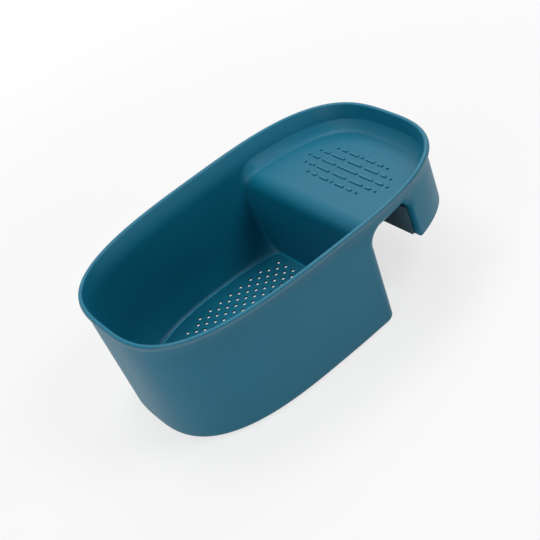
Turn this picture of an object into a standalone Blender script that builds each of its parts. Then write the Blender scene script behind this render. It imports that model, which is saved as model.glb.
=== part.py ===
"""Over-sink colander: a deep strainer basin with a shallow tray and a hook that hang it on a sink's edge.

Run it with blender --background --python part.py, or from Blender's text editor. X runs from the basin to the
hook, Y across, Z up, and the feet stand on Z = 0. Each function below makes one piece, or one cutter for a piece.
"""

import math

import bmesh
import bpy
import numpy as np

MM = 0.001

# Whole object
LENGTH = 296 * MM
WIDTH = 189 * MM
HEIGHT = 105 * MM
WALL = 2.4 * MM
CLEARANCE = 0.35 * MM

# Rim outline, an oval with flat sides: two superellipses that meet at the widest place
RIM_WIDEST_FROM_CENTRE = 10.2 * MM
RIM_POWER_BASIN_END = 3.05
RIM_POWER_HOOK_END = 2.94
BEAD_OUT = 1.2 * MM
BEAD_HEIGHT = 2.8 * MM
EDGE_ROUND = 0.8 * MM

# Flared band under the rim
FLARE_HEIGHT = 19 * MM
FLARE_INSET_SIDE = 7.6 * MM
FLARE_INSET_BASIN_END = 1.6 * MM
FLARE_INSET_HOOK_END = 2.6 * MM

# Foot outline of the basin, set in from the rim
FOOT_INSET_END = 3.1 * MM
FOOT_INSET_SIDE = 9.6 * MM
FOOT_INSET_HOOK_END = 6.5 * MM
FOOT_WIDEST_FROM_CENTRE = -18 * MM
FOOT_POWER_BASIN_END = 2.84
FOOT_POWER_HOOK_END = 2.76
FOOT_ROUND = 4.5 * MM

# Floor outline inside the basin, an oval of its own that the walls blend into over a height
FLOOR_INSET_END = 9.5 * MM
FLOOR_INSET_SIDE = 16.3 * MM
FLOOR_INSET_HOOK_END = 55 * MM
FLOOR_WIDEST_FROM_CENTRE = -32.5 * MM
FLOOR_POWER_BASIN_END = 2.23
FLOOR_POWER_HOOK_END = 2.5
FLOOR_BLEND = 30 * MM
RECESS_INSET = 0.4 * MM

# Divider between basin and sink edge
BASIN_LENGTH = 187 * MM
DIVIDER_DRAFT = math.radians(1.8)
DIVIDER_CORNER = 8 * MM
STEP_ROUND = 13 * MM

# Tray over the sink's edge
TRAY_DEPTH = 22.3 * MM
TRAY_SIDE_WIDE = 9.5 * MM
TRAY_SIDE_HIGH = 8.5 * MM
TRAY_SIDE_POWER = 1.5

# Rounding of the saddle's ceiling into the side walls, below the tray's own curve
ARCH_SIDE_WIDE = 12.5 * MM
ARCH_SIDE_HIGH = 10.5 * MM
ARCH_SIDE_POWER = 1.45

# Hook behind the sink's edge
SADDLE_GAP = 43.7 * MM
HOOK_DROP = 33.1 * MM
HOOK_DRAFT = math.radians(0.6)
HOOK_CORNER = 2.5 * MM
HOOK_ARCH_ROUND = 5.5 * MM

# Anti-slip pad on the hook
PAD_THICK = 1.8 * MM
PAD_MARGIN_SIDE = 6.8 * MM
PAD_MARGIN_TOP = 5.0 * MM
PAD_MARGIN_FOOT = 0.6 * MM
PAD_CORNER = 2.0 * MM

# Moulded feet
FOOT_HEIGHT = 1.2 * MM
FOOT_LENGTH = 10 * MM
FOOT_WIDE = 4 * MM
FOOT_FROM_WALL = 8.5 * MM
FOOT_FROM_DIVIDER = 22 * MM
FOOT_FROM_END = 62 * MM

# Strainer plate and the ledge that carries it
LEDGE_WIDE = 6.5 * MM
LEDGE_THICK = 2.0 * MM
PLATE_THICK = 1.4 * MM
HOLE_WIDE = 3.4 * MM
HOLE_PITCH_X = 11.4 * MM
HOLE_PITCH_Y = 10.5 * MM
HOLE_MARGIN = 12.5 * MM
HOLE_MARGIN_DIVIDER = 8.3 * MM
HOLE_SIDES = 6

# Raised dashes on the tray: distance of each dash from the middle, and its length
DASH_WIDE = 2.5 * MM
DASH_HIGH = 1.0 * MM
DASH_ROW_PITCH = 8.7 * MM
DASH_FROM_HOOK_FACE = 3.7 * MM
DOT = 2.5 * MM
DASH_OUTER_ROW = ((0, DOT), (10 * MM, 10.8 * MM), (22.4 * MM, 6.3 * MM), (31 * MM, DOT))
DASH_MIDDLE_ROW = ((0, 17 * MM), (20.8 * MM, 16.2 * MM), (35.6 * MM, 6.8 * MM), (44.2 * MM, DOT))
DASH_CENTRE_ROW = ((0, 25 * MM), (23.7 * MM, 16.5 * MM), (40 * MM, 8.6 * MM), (49.3 * MM, DOT))
DASH_ROWS = (DASH_OUTER_ROW, DASH_MIDDLE_ROW, DASH_CENTRE_ROW, DASH_MIDDLE_ROW, DASH_OUTER_ROW)

# Fineness
HALF_POINTS = 44
SIDE_CROWDING = 0.2
SIDE_POINTS = 22
TRAY_POINTS = 14
CORNER_POINTS = 4
SIDE_LEVELS = 5
BLEND_LEVELS = 6
OVERLAP = 0.5 * MM
SEAM_STEP = 0.12 * MM
WELD = 0.01 * MM

# Places worked out from the sizes above
BASIN_END_X = -LENGTH / 2
FLARE_FOOT_Z = HEIGHT - FLARE_HEIGHT
TRAY_Z = HEIGHT - TRAY_DEPTH
SEAT_Z = TRAY_Z - WALL
ARCH_TOP_Z = SEAT_Z + ARCH_SIDE_HIGH
HOOK_FOOT_Z = SEAT_Z - HOOK_DROP
LEDGE_TOP_Z = FOOT_HEIGHT + LEDGE_THICK
PLATE_Z = LEDGE_TOP_Z + CLEARANCE
DIVIDER_FOOT_X = BASIN_END_X + FOOT_INSET_END + BASIN_LENGTH
DIVIDER_SEAT_X = DIVIDER_FOOT_X + (SEAT_Z - FOOT_HEIGHT) * math.tan(DIVIDER_DRAFT)
HOOK_X = DIVIDER_SEAT_X + SADDLE_GAP
ARCH_ROUND = STEP_ROUND - WALL
INNER_CORNER = DIVIDER_CORNER - WALL
STEP_CENTRE_Z = TRAY_Z - STEP_ROUND


def clear_scene():
    """Remove every object that the scene starts with."""
    for obj in list(bpy.data.objects):
        bpy.data.objects.remove(obj, do_unlink=True)


def make_material(name, colour, roughness):
    """One Principled material in a plain colour."""
    material = bpy.data.materials.new(name)
    material.use_nodes = True
    shader = material.node_tree.nodes["Principled BSDF"]
    shader.inputs["Base Color"].default_value = (*colour, 1)
    shader.inputs["Roughness"].default_value = roughness
    shader.inputs["Metallic"].default_value = 0
    material.diffuse_color = (*colour, 1)
    return material


def half_oval(widest_x, end_left, end_right, half_width, power_left, power_right):
    """Far half of an oval, from its hook end to its basin end, as rows of x and y."""
    even = np.linspace(0, math.pi, HALF_POINTS + 1)
    turn = even + np.sin(2 * even) * SIDE_CROWDING
    cos, sin = np.cos(turn), np.abs(np.sin(turn))
    power = np.where(cos > 0, power_right, power_left)
    reach = np.where(cos > 0, end_right - widest_x, widest_x - end_left)
    x = widest_x + reach * np.sign(cos) * np.abs(cos) ** (2 / power)
    y = half_width * sin ** (2 / power)
    y[[0, -1]] = 0
    return np.column_stack([x, y])


def inward(half):
    """The direction square to a half outline at each point, of length 1."""
    whole = np.vstack([half[1] * (1, -1), half, half[-2] * (1, -1)])
    along = whole[2:] - whole[:-2]
    along /= np.linalg.norm(along, axis=1)[:, None]
    return np.column_stack([-along[:, 1], along[:, 0]])


def inset(half, distance):
    """The half outline moved inwards, square to itself. distance is one number or one for each point."""
    moved = half + inward(half) * np.reshape(distance, (-1, 1))
    moved[[0, -1], 1] = 0
    return moved


def rim_half():
    """The outermost outline, at the bead."""
    return half_oval(RIM_WIDEST_FROM_CENTRE, BASIN_END_X, LENGTH / 2, WIDTH / 2,
                     RIM_POWER_BASIN_END, RIM_POWER_HOOK_END)


def foot_half():
    """The outline that the skin is drawn in to at the foot, as if it ran the whole length."""
    return half_oval(FOOT_WIDEST_FROM_CENTRE, BASIN_END_X + FOOT_INSET_END, LENGTH / 2 - FOOT_INSET_HOOK_END,
                     WIDTH / 2 - FOOT_INSET_SIDE, FOOT_POWER_BASIN_END, FOOT_POWER_HOOK_END)


def flare_inset(rim):
    """How far the flared band comes in at each point: the side's amount, turning into the end's as the rim turns."""
    facing = inward(rim)[:, 0]
    end = np.where(facing > 0, FLARE_INSET_BASIN_END, FLARE_INSET_HOOK_END)
    return FLARE_INSET_SIDE + (end - FLARE_INSET_SIDE) * facing ** 2


def floor_half():
    """The outline of the floor inside the basin, as if it ran on past the divider."""
    return half_oval(FLOOR_WIDEST_FROM_CENTRE, BASIN_END_X + FLOOR_INSET_END, LENGTH / 2 - FLOOR_INSET_HOOK_END,
                     WIDTH / 2 - FLOOR_INSET_SIDE, FLOOR_POWER_BASIN_END, FLOOR_POWER_HOOK_END)


def skin_half(z):
    """Outer skin without the bead: a quarter sine in the flared band, then drawn in to the foot or down the hook."""
    down = min(max((HEIGHT - z) / FLARE_HEIGHT, 0), 1)
    rim = rim_half()
    flared = inset(rim, BEAD_OUT + (flare_inset(rim) - BEAD_OUT) * math.sin(down * math.pi / 2))
    if z >= FLARE_FOOT_Z:
        return flared
    share = (FLARE_FOOT_Z - z) / (FLARE_FOOT_Z - FOOT_HEIGHT)
    basin = flared + (foot_half() - flared) * share
    hook = inset(flared, (FLARE_FOOT_Z - z) * math.tan(HOOK_DRAFT))
    step = np.clip((flared[:, :1] - DIVIDER_SEAT_X) / SADDLE_GAP, 0, 1)
    blend = step * step * (3 - 2 * step)
    return basin * (1 - blend) + hook * blend


def lower_skin_half(z):
    """The skin below the seat. It stands a hair inside the band above it, so that no two faces coincide."""
    return inset(skin_half(z), SEAM_STEP)


def mirrored(half):
    """Close a half outline whose two ends lie on y = 0, or whose first end doesn't, by its mirror image."""
    first = 1 if half[0, 1] == 0 else 0
    last = -1 if half[-1, 1] == 0 else len(half)
    return np.vstack([half, half[first:last][::-1] * (1, -1)])


def level(outline, z):
    """A closed outline as a ring of points at one height."""
    return np.column_stack([outline, np.full(len(outline), z)])


def along(half, places):
    """Points of a half outline at places counted in steps from its first point."""
    step = np.arange(len(half))
    return np.column_stack([np.interp(places, step, half[:, k]) for k in range(2)])


def place_of(half, x):
    """Where a half outline passes x, counted in steps from its first point."""
    return np.interp(-np.asarray(x), -half[:, 0], np.arange(len(half)))


def cut_half(half, cut, corner, keep_left):
    """The part of a half outline on one side of a cut, with a rounded corner. cut(stand) is the cut's x at a
    distance in from the skin."""
    outward = 1 if keep_left else -1
    skin_x = float(cut(np.zeros(1))[0])
    start = place_of(half, skin_x - outward * corner)
    side = along(half, np.linspace(start, len(half) - 1 if keep_left else 0, SIDE_POINTS))
    turn = np.linspace(0, math.pi / 2, CORNER_POINTS + 1)[:-1]
    flat = np.linspace(max(ARCH_SIDE_WIDE, 2 * corner), corner, CORNER_POINTS)[:-1]
    stand = np.concatenate([flat, corner * (1 - np.sin(turn))])
    lean = np.concatenate([np.zeros(len(flat)), corner * (1 - np.cos(turn))])
    edge = np.column_stack([cut(stand) - outward * lean, side[0, 1] - stand])
    return np.vstack([edge, side])


def straight_cut(x):
    """A cut square across at one x."""
    return lambda stand: np.full(len(stand), x)


def rounded_over(z, top, rounding):
    """How far a quarter circle that ends level at top has leant over at a height."""
    rise = np.clip((z - (top - rounding)) / rounding, 0, 1)
    return rounding * (1 - np.sqrt(1 - rise * rise))


def ceiling_z(stand):
    """Height of the saddle's ceiling at a distance in from the skin: the seat, rising to the arch's edge."""
    left = np.clip(1 - stand / ARCH_SIDE_WIDE, 0, 1)
    return SEAT_Z + ARCH_SIDE_HIGH * (1 - (1 - left ** ARCH_SIDE_POWER) ** (1 / ARCH_SIDE_POWER))


def divider_x(z):
    """Basin side of the saddle, drafted, without its rounding."""
    return DIVIDER_FOOT_X + (min(z, SEAT_Z) - FOOT_HEIGHT) * math.tan(DIVIDER_DRAFT)


def inner_divider_x(z):
    """Basin's own side of the divider, drafted up to the centre of the step's rounding."""
    return DIVIDER_FOOT_X - WALL + (min(z, STEP_CENTRE_Z) - FOOT_HEIGHT) * math.tan(DIVIDER_DRAFT)


def step_x(z, depth):
    """Where a surface that lies a depth outside the divider and its rounded step passes a height."""
    over = min(max(z - STEP_CENTRE_Z, 0), STEP_ROUND)
    return inner_divider_x(z) + STEP_ROUND - np.sqrt((STEP_ROUND + depth) ** 2 - over ** 2)


def side_stand(x, z):
    """How far the inside stands in from the side wall: a broad curve over the tray, tighter down the divider."""
    run = np.maximum(inner_divider_x(z) + STEP_ROUND - x, 0)
    over = max(z - STEP_CENTRE_Z, 0)
    depth = np.where(run > 0, np.hypot(run, over) - STEP_ROUND, z - TRAY_Z)
    share = np.arctan2(over, run) / (math.pi / 2)
    high = INNER_CORNER + (TRAY_SIDE_HIGH - INNER_CORNER) * share
    wide = INNER_CORNER + (TRAY_SIDE_WIDE - INNER_CORNER) * share
    power = 2 + (TRAY_SIDE_POWER - 2) * share
    left = np.clip(1 - depth / high, 0, 1)
    return wide * (1 - (1 - left ** power) ** (1 / power))


def side_curve(share, wide, high, power):
    """Profile of a rounding into the side wall: its rise, and how far it stands in. share runs from 0 to 1."""
    turn = share * math.pi / 2
    return high * (1 - math.cos(turn) ** (2 / power)), wide * (1 - math.sin(turn) ** (2 / power))


def rounding_levels(top, rounding, count):
    """Heights that step evenly round a quarter circle ending at top."""
    return [top - rounding * (1 - math.sin(k / count * math.pi / 2)) for k in range(1, count + 1)]


def loft(name, rings):
    """A closed solid through rings of equal point counts, from the lowest to the highest."""
    count = len(rings[0])
    points = np.vstack(rings)
    corner = np.arange(count)
    beside = np.roll(corner, -1)
    faces = []
    for k in range(len(rings) - 1):
        low, high = k * count, (k + 1) * count
        faces += np.column_stack([low + corner, low + beside, high + beside, high + corner]).tolist()
    faces.append(corner[::-1].tolist())
    faces.append((corner + (len(rings) - 1) * count).tolist())
    mesh = bpy.data.meshes.new(name)
    mesh.from_pydata(points.tolist(), [], faces)
    mesh.update()
    obj = bpy.data.objects.new(name, mesh)
    bpy.context.scene.collection.objects.link(obj)
    return obj


def joined(name, solids):
    """Several separate solids as one helper object."""
    points, faces = [], []
    for obj in solids:
        shift = len(points)
        points += [tuple(v.co) for v in obj.data.vertices]
        faces += [[shift + k for k in polygon.vertices] for polygon in obj.data.polygons]
        bpy.data.objects.remove(obj, do_unlink=True)
    mesh = bpy.data.meshes.new(name)
    mesh.from_pydata(points, [], faces)
    helper = bpy.data.objects.new(name, mesh)
    bpy.context.scene.collection.objects.link(helper)
    return helper


def combine(target, helper, operation):
    """Add a Boolean modifier that unites or cuts with a hidden helper."""
    helper.hide_render = True
    helper.display_type = "WIRE"
    modifier = target.modifiers.new(helper.name, "BOOLEAN")
    modifier.operation = operation
    modifier.solver = "EXACT"
    modifier.object = helper


def counter_clockwise(half):
    """Turn a half outline that starts at its far corner into a closed ring that runs counter-clockwise."""
    ring = mirrored(half)
    area = np.sum(ring[:, 0] * np.roll(ring[:, 1], -1) - np.roll(ring[:, 0], -1) * ring[:, 1])
    return ring if area > 0 else ring[::-1]


def upper_shell():
    """Tray and rim outside: from the seat on the sink's edge, round the tray's side, up to the rounded rim."""
    rings = []
    for k in range(SIDE_LEVELS):
        rise, inwards = side_curve(k / SIDE_LEVELS, ARCH_SIDE_WIDE, ARCH_SIDE_HIGH, ARCH_SIDE_POWER)
        rings.append(level(counter_clockwise(inset(skin_half(SEAT_Z + rise), inwards)), SEAT_Z + rise))
    for z in np.linspace(ARCH_TOP_Z, HEIGHT - BEAD_HEIGHT - BEAD_OUT / 2, 4):
        rings.append(level(counter_clockwise(skin_half(z)), z))
    rim = rim_half()
    for z, inwards in ((HEIGHT - BEAD_HEIGHT, 0), (HEIGHT - EDGE_ROUND, 0), (HEIGHT, EDGE_ROUND)):
        rings.append(level(counter_clockwise(inset(rim, inwards)), z))
    return loft("basket_body", rings)


def basin_shell():
    """Basin outside, below the tray: rounded foot, drafted walls, and the rounding into the saddle's ceiling."""
    rings = []
    for k in range(3):
        turn = k / 3 * math.pi / 2
        inwards = FOOT_ROUND * (1 - math.sin(turn))
        z = FOOT_HEIGHT + FOOT_ROUND * (1 - math.cos(turn))
        half = cut_half(inset(lower_skin_half(z), inwards), straight_cut(divider_x(z) - inwards), DIVIDER_CORNER, True)
        rings.append(level(counter_clockwise(half), z))
    heights = [FOOT_HEIGHT + FOOT_ROUND, SEAT_Z - ARCH_ROUND]
    heights += rounding_levels(SEAT_Z, ARCH_ROUND, 4) + rounding_levels(ARCH_TOP_Z, ARCH_ROUND, 6)
    for z in sorted(heights):
        half = cut_half(lower_skin_half(z), arch_cut(z), DIVIDER_CORNER, True)
        rings.append(level(counter_clockwise(half), z))
    half = cut_half(inset(skin_half(ARCH_TOP_Z), OVERLAP), arch_cut(ARCH_TOP_Z), DIVIDER_CORNER, True)
    rings.append(level(counter_clockwise(half), ARCH_TOP_Z + OVERLAP))
    return loft("basin_shell", rings)


def arch_cut(z):
    """The saddle's basin side at a height, rounded over into its ceiling."""
    return lambda stand: divider_x(z) + rounded_over(z, ceiling_z(stand), ARCH_ROUND)


def hook_cut(z):
    """The saddle's hook side at a height, rounded over into its ceiling."""
    return lambda stand: HOOK_X - rounded_over(z, ceiling_z(stand), HOOK_ARCH_ROUND)


def hook_shell():
    """Hook outside: the rounded skirt that drops behind the sink's edge, flat on its inner face."""
    rings = []
    heights = [HOOK_FOOT_Z, SEAT_Z - HOOK_ARCH_ROUND]
    heights += rounding_levels(SEAT_Z, HOOK_ARCH_ROUND, 3) + rounding_levels(ARCH_TOP_Z, HOOK_ARCH_ROUND, 4)
    for z in sorted(heights):
        rings.append(level(counter_clockwise(cut_half(lower_skin_half(z), hook_cut(z), HOOK_CORNER, False)), z))
    half = cut_half(inset(skin_half(ARCH_TOP_Z), OVERLAP), hook_cut(ARCH_TOP_Z), HOOK_CORNER, False)
    rings.append(level(counter_clockwise(half), ARCH_TOP_Z + OVERLAP))
    return loft("hook_shell", rings)


def corner_depths(z):
    """Steps in depth through the curve between divider and side wall, from the divider's face outwards."""
    share = min(max(z - STEP_CENTRE_Z, 0) / STEP_ROUND, 1)
    high = INNER_CORNER + (TRAY_SIDE_HIGH - INNER_CORNER) * share
    return high * (1 - np.cos(np.linspace(0, math.pi / 2, CORNER_POINTS + 3)))


def basin_inside_half(z, margin, rise):
    """Half outline of the basin's inside, set in by a margin. rise is 0 on the floor's oval and 1 on the wall."""
    floor = floor_half()
    half = floor + (inset(skin_half(z), WALL) - floor) * rise
    x = step_x(z, margin + corner_depths(z))
    corner = place_of(half, x)
    places = np.concatenate([corner, np.linspace(corner[-1], len(half) - 1, SIDE_POINTS + 1)[1:]])
    stand = np.zeros(len(places))
    stand[:len(x)] = side_stand(x + margin, z)
    moved = along(half, places) + along(inward(half), places) * (stand + margin)[:, None]
    moved[-1, 1] = 0
    return moved


def tray_inside_half(z):
    """Half outline of the whole inside above the tray, its points in line with the basin's ones."""
    half = inset(skin_half(z), WALL)
    corner = place_of(half, step_x(TRAY_Z, corner_depths(TRAY_Z)))
    places = np.concatenate([np.linspace(0, corner[0], TRAY_POINTS + 1)[:-1], corner,
                             np.linspace(corner[-1], len(half) - 1, SIDE_POINTS + 1)[1:]])
    plain = along(half, places)
    moved = plain + along(inward(half), places) * side_stand(plain[:, 0], z)[:, None]
    moved[[0, -1], 1] = 0
    return moved


def inside_hollow():
    """All that is hollow above the floor: the basin, the rounded step, the tray and the space inside the rim."""
    low = PLATE_Z + PLATE_THICK
    basin = []
    for k in range(BLEND_LEVELS):
        share = k / BLEND_LEVELS
        basin.append((low + FLOOR_BLEND * share, math.sin(share * math.pi / 2)))
    basin += [(z, 1) for z in [low + FLOOR_BLEND, STEP_CENTRE_Z] + rounding_levels(TRAY_Z, STEP_ROUND, 5)]
    tray = [TRAY_Z + side_curve(k / SIDE_LEVELS, TRAY_SIDE_WIDE, TRAY_SIDE_HIGH, TRAY_SIDE_POWER)[0]
            for k in range(SIDE_LEVELS)]
    tray += np.linspace(TRAY_Z + TRAY_SIDE_HIGH, HEIGHT - EDGE_ROUND, 4).tolist()
    lower = loft("basin_hollow", [level(mirrored(basin_inside_half(z, 0, rise))[::-1], z) for z, rise in basin])
    rings = [level(mirrored(tray_inside_half(z))[::-1], z) for z in tray]
    lip = mirrored(inset(tray_inside_half(HEIGHT), -EDGE_ROUND))[::-1]
    rings.append(level(lip, HEIGHT + EDGE_ROUND))
    upper = loft("tray_hollow", rings)
    return welded("inside_hollow", lower, upper)


def welded(name, lower, upper):
    """Join two lofts that meet in one plane: their shared corners become one and the face between them goes."""
    helper = joined(name, [lower, upper])
    edit = bmesh.new()
    edit.from_mesh(helper.data)
    flat = [face for face in edit.faces if all(abs(v.co.z - TRAY_Z) < WELD for v in face.verts)]
    lid = min(flat, key=lambda face: max(v.co.x for v in face.verts))
    floor = max(flat, key=lambda face: max(v.co.x for v in face.verts))
    bmesh.ops.delete(edit, geom=[lid, floor], context="FACES_ONLY")
    bmesh.ops.remove_doubles(edit, verts=edit.verts[:], dist=WELD)
    open_edges = [edge for edge in edit.edges if len(edge.link_faces) == 1]
    bmesh.ops.contextual_create(edit, geom=open_edges)
    bmesh.ops.recalc_face_normals(edit, faces=edit.faces[:])
    edit.to_mesh(helper.data)
    edit.free()
    return helper


def plate_recess():
    """The sunk place in the basin's floor that the plate lies in."""
    outline = counter_clockwise(basin_inside_half(PLATE_Z, RECESS_INSET, 0))
    return loft("plate_recess", [level(outline, LEDGE_TOP_Z), level(outline, PLATE_Z + PLATE_THICK + OVERLAP)])


def drain_opening():
    """The opening inside the ledge, under the plate."""
    outline = counter_clockwise(basin_inside_half(PLATE_Z, LEDGE_WIDE, 0))
    return loft("drain_opening", [level(outline, -OVERLAP), level(outline, LEDGE_TOP_Z + OVERLAP)])


def hook_hollow():
    """The hook is moulded hollow and open below."""
    rings = []
    for z in (HOOK_FOOT_Z - OVERLAP, SEAT_Z):
        half = cut_half(inset(skin_half(z), WALL), straight_cut(HOOK_X + WALL), HOOK_CORNER, False)
        rings.append(level(counter_clockwise(half), z))
    return loft("hook_hollow", rings)


def bar(name, x, y, long, wide, low, high):
    """A bar along Y with round ends, standing from low to high."""
    straight = max(long - wide, 0) / 2
    turn = np.linspace(0, math.pi, CORNER_POINTS + 1)
    end = np.column_stack([wide / 2 * np.cos(turn), straight + wide / 2 * np.sin(turn)])
    if straight == 0:
        outline = np.vstack([end, -end[1:-1]])
    else:
        outline = np.vstack([end, -end])
    return loft(name, [level(outline + (x, y), low), level(outline + (x, y), high)])


def tray_dashes():
    """Five rows of raised dashes across the tray."""
    middle_x = HOOK_X + DASH_FROM_HOOK_FACE
    bars = []
    for row, dashes in enumerate(DASH_ROWS):
        x = middle_x + (row - (len(DASH_ROWS) - 1) / 2) * DASH_ROW_PITCH
        for place, long in dashes:
            for y in sorted({-place, place}):
                bars.append(bar("dash", x, y, long, DASH_WIDE, TRAY_Z - OVERLAP, TRAY_Z + DASH_HIGH))
    return joined("tray_dashes", bars)


def moulded_feet():
    """Four low feet under the ledge."""
    feet = []
    half = inset(skin_half(FOOT_HEIGHT), FOOT_FROM_WALL)
    for x in (BASIN_END_X + FOOT_FROM_END, DIVIDER_FOOT_X - FOOT_FROM_DIVIDER):
        reach = float(np.interp(-x, -half[:, 0], half[:, 1]))
        for y in (-reach, reach):
            foot = bar("foot", 0, 0, FOOT_LENGTH, FOOT_WIDE, 0, FOOT_HEIGHT + OVERLAP)
            for vertex in foot.data.vertices:
                vertex.co.x, vertex.co.y = x - vertex.co.y, y + vertex.co.x
            feet.append(foot)
    return joined("moulded_feet", feet)


def basket_body():
    """The one big moulding: basin, rim, tray and hook."""
    body = upper_shell()
    combine(body, basin_shell(), "UNION")
    combine(body, hook_shell(), "UNION")
    combine(body, inside_hollow(), "DIFFERENCE")
    combine(body, plate_recess(), "DIFFERENCE")
    combine(body, drain_opening(), "DIFFERENCE")
    combine(body, hook_hollow(), "DIFFERENCE")
    combine(body, tray_dashes(), "UNION")
    combine(body, moulded_feet(), "UNION")
    body.data.materials.append(make_material("teal_plastic", (0.019, 0.105, 0.155), 0.38))
    return body


def plate_outline():
    """The plate's edge, a clearance inside the basin's wall at the plate."""
    return counter_clockwise(basin_inside_half(PLATE_Z, RECESS_INSET + CLEARANCE, 0))


def hole_places():
    """Centres of the drain holes: a staggered grid, kept to a margin inside the plate's edge."""
    inner = inset(floor_half(), HOLE_MARGIN)
    last_x = inner_divider_x(PLATE_Z) - HOLE_MARGIN_DIVIDER - HOLE_WIDE / 2
    rows = int(WIDTH / HOLE_PITCH_Y) + 1
    columns = int(LENGTH / HOLE_PITCH_X) + 1
    places = []
    for row in range(-rows, rows + 1):
        for column in range(columns):
            x = last_x - (column + (row + 1) % 2 / 2) * HOLE_PITCH_X
            y = row * HOLE_PITCH_Y / 2
            reach = np.interp(-x, -inner[:, 0], inner[:, 1], left=0, right=0)
            if abs(y) < reach:
                places.append((x, y))
    return places


def drain_holes():
    """Every hole as one prism that cuts through the plate."""
    turn = np.arange(HOLE_SIDES) / HOLE_SIDES * 2 * math.pi
    outline = HOLE_WIDE / 2 * np.column_stack([np.cos(turn), np.sin(turn)])
    low, high = PLATE_Z - OVERLAP, PLATE_Z + PLATE_THICK + OVERLAP
    prisms = []
    for place in hole_places():
        prisms.append(loft("hole", [level(outline + place, low), level(outline + place, high)]))
    return joined("drain_holes", prisms)


def strainer_plate():
    """The perforated floor, which rests on the ledge and lifts out."""
    outline = plate_outline()
    plate = loft("strainer_plate", [level(outline, PLATE_Z), level(outline, PLATE_Z + PLATE_THICK)])
    combine(plate, drain_holes(), "DIFFERENCE")
    plate.data.materials.append(make_material("teal_plate_plastic", (0.022, 0.125, 0.175), 0.42))
    return plate


def hook_pad():
    """The grey anti-slip sheet on the hook's inner face, towards the sink's edge."""
    half = skin_half(HOOK_FOOT_Z)
    half_wide = float(np.interp(-HOOK_X, -half[:, 0], half[:, 1])) - PAD_MARGIN_SIDE
    low = HOOK_FOOT_Z + PAD_MARGIN_FOOT
    high = SEAT_Z - PAD_MARGIN_TOP
    turn = np.linspace(0, math.pi / 2, CORNER_POINTS + 1)
    corner = PAD_CORNER * np.column_stack([np.cos(turn), np.sin(turn)])
    corners = []
    for sign_y, sign_z in ((1, 1), (-1, 1), (-1, -1), (1, -1)):
        middle = (sign_y * (half_wide - PAD_CORNER), (high if sign_z > 0 else low) - sign_z * PAD_CORNER)
        arc = corner * (sign_y, sign_z) + middle
        corners.append(arc if sign_y * sign_z > 0 else arc[::-1])
    outline = np.vstack(corners)
    back = HOOK_X - CLEARANCE
    rings = [np.column_stack([np.full(len(outline), x), outline]) for x in (back - PAD_THICK, back)]
    pad = loft("hook_pad", rings)
    pad.data.materials.append(make_material("grey_rubber", (0.045, 0.055, 0.06), 0.75))
    return pad


def main():
    """Build the whole object."""
    clear_scene()
    basket_body()
    strainer_plate()
    hook_pad()


main()
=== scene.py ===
"""Over-sink colander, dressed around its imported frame.

The body is one closed skin made of rings: outlines of the oval at many heights, computed as whole arrays. The
basin, the step, the tray, the saddle and the hook share one rule for how a surface curves into the side wall.
"""

import math

import bmesh
import bpy
import numpy as np
from bpy.props import FloatProperty, FloatVectorProperty, IntProperty, PointerProperty
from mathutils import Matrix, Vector


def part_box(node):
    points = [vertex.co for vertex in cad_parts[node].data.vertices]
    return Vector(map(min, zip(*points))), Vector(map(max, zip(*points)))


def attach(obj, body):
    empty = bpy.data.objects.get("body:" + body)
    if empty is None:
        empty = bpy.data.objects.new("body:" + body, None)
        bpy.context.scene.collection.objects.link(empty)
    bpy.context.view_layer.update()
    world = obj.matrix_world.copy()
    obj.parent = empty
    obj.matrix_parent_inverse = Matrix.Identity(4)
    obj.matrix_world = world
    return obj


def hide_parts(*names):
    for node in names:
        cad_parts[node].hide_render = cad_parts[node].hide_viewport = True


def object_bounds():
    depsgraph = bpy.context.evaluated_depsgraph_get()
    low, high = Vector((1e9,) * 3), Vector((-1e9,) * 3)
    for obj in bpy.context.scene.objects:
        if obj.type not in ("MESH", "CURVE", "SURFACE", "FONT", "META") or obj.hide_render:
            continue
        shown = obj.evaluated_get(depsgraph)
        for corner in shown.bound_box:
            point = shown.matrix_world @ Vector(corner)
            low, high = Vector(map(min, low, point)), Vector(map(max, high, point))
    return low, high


bl_info = {
    "name": "Over-sink colander",
    "version": (1, 0, 0),
    "blender": (4, 5, 0),
    "location": "3D View > Sidebar > Colander",
    "description": "Builds the visible colander: body, strainer plate, hook pad and studio",
    "category": "Object",
}

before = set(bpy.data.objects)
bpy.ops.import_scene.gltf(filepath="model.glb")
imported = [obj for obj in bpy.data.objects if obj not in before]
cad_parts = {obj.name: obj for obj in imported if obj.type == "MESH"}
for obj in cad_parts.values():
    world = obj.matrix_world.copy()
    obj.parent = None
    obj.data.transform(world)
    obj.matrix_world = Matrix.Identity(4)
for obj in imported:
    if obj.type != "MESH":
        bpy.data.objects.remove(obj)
cad_low, cad_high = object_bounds()
plate_low, plate_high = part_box("strainer_plate")
pad_low, pad_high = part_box("hook_pad")

MM = 0.001

# Outlines and walls, as in the part's source. Where an oval has two or three values, they are for the basin's
# end, the side if there are three, and the hook's end.
RIM_WIDEST_X = 10.2 * MM
RIM_POWERS = (3.05, 2.94)
FLARE_HEIGHT = 19 * MM
FLARE_INSET_SIDE = 7.6 * MM
FLARE_INSET_ENDS = (1.6 * MM, 2.6 * MM)
FOOT_INSETS = (3.1 * MM, 9.6 * MM, 6.5 * MM)
FOOT_WIDEST_X = -18 * MM
FOOT_POWERS = (2.84, 2.76)
FOOT_ROUND = 4.5 * MM
FOOT_HEIGHT = 1.2 * MM
FLOOR_INSETS = (9.5 * MM, 16.3 * MM, 55 * MM)
FLOOR_WIDEST_X = -32.5 * MM
FLOOR_POWERS = (2.23, 2.5)
FLOOR_BLEND = 30 * MM
BASIN_LENGTH = 187 * MM
DIVIDER_DRAFT = math.radians(1.8)
DIVIDER_CORNER = 8 * MM

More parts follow.
